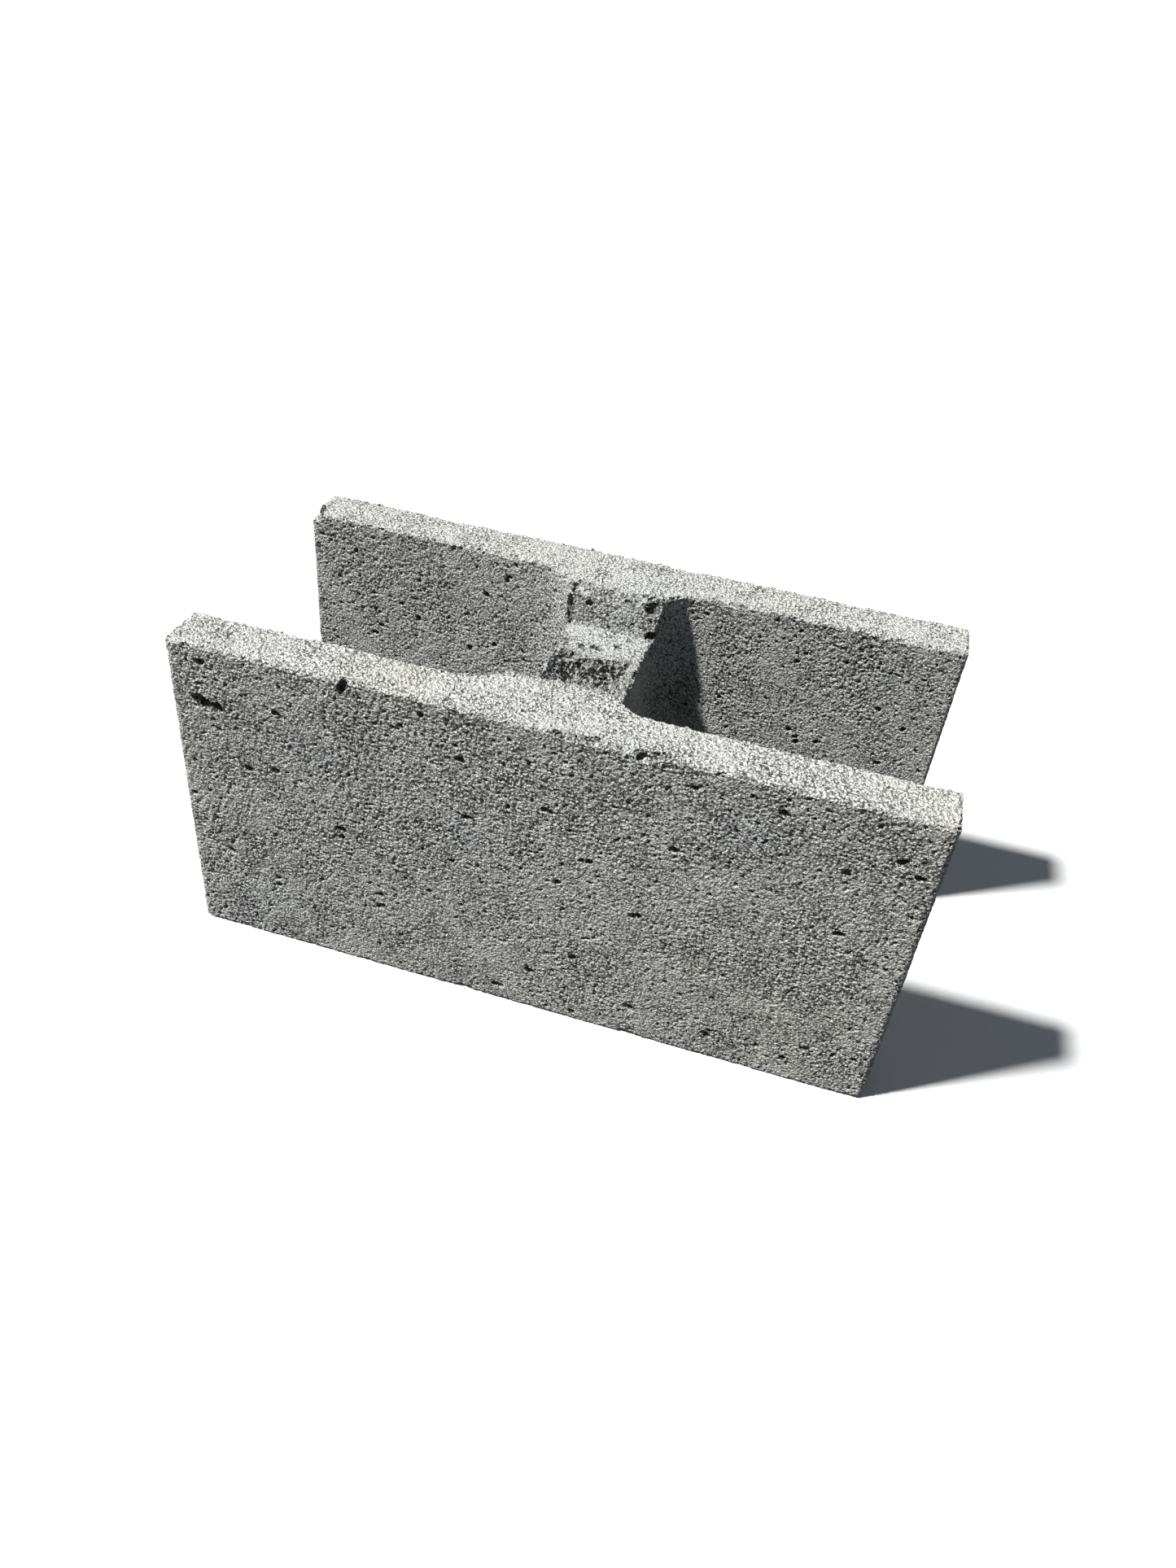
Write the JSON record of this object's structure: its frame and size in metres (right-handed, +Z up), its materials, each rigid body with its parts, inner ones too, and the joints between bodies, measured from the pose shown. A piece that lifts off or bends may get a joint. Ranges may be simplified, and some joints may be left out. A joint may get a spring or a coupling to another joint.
{
  "type": "open-end concrete masonry block",
  "caption": "Hollow grey concrete masonry block, H-shaped in plan: long face shells joined by a cross web whose top is notched for reinforcement; cells open at the ends.",
  "frame": {"origin": "centre of the base, on the plane the block stands on", "axes": "+X along the block's length, -Y out of the front face, +Z up towards the notched top"},
  "size_m": [0.3968, 0.1938, 0.1937],
  "materials": {
    "shell_concrete": "matte",
    "web_concrete": "matte"
  },
  "bodies": {
    "root": {"front_face_shell": "shell_concrete", "rear_face_shell": "shell_concrete", "cross_web": "web_concrete"}
  },
  "joints": []
}
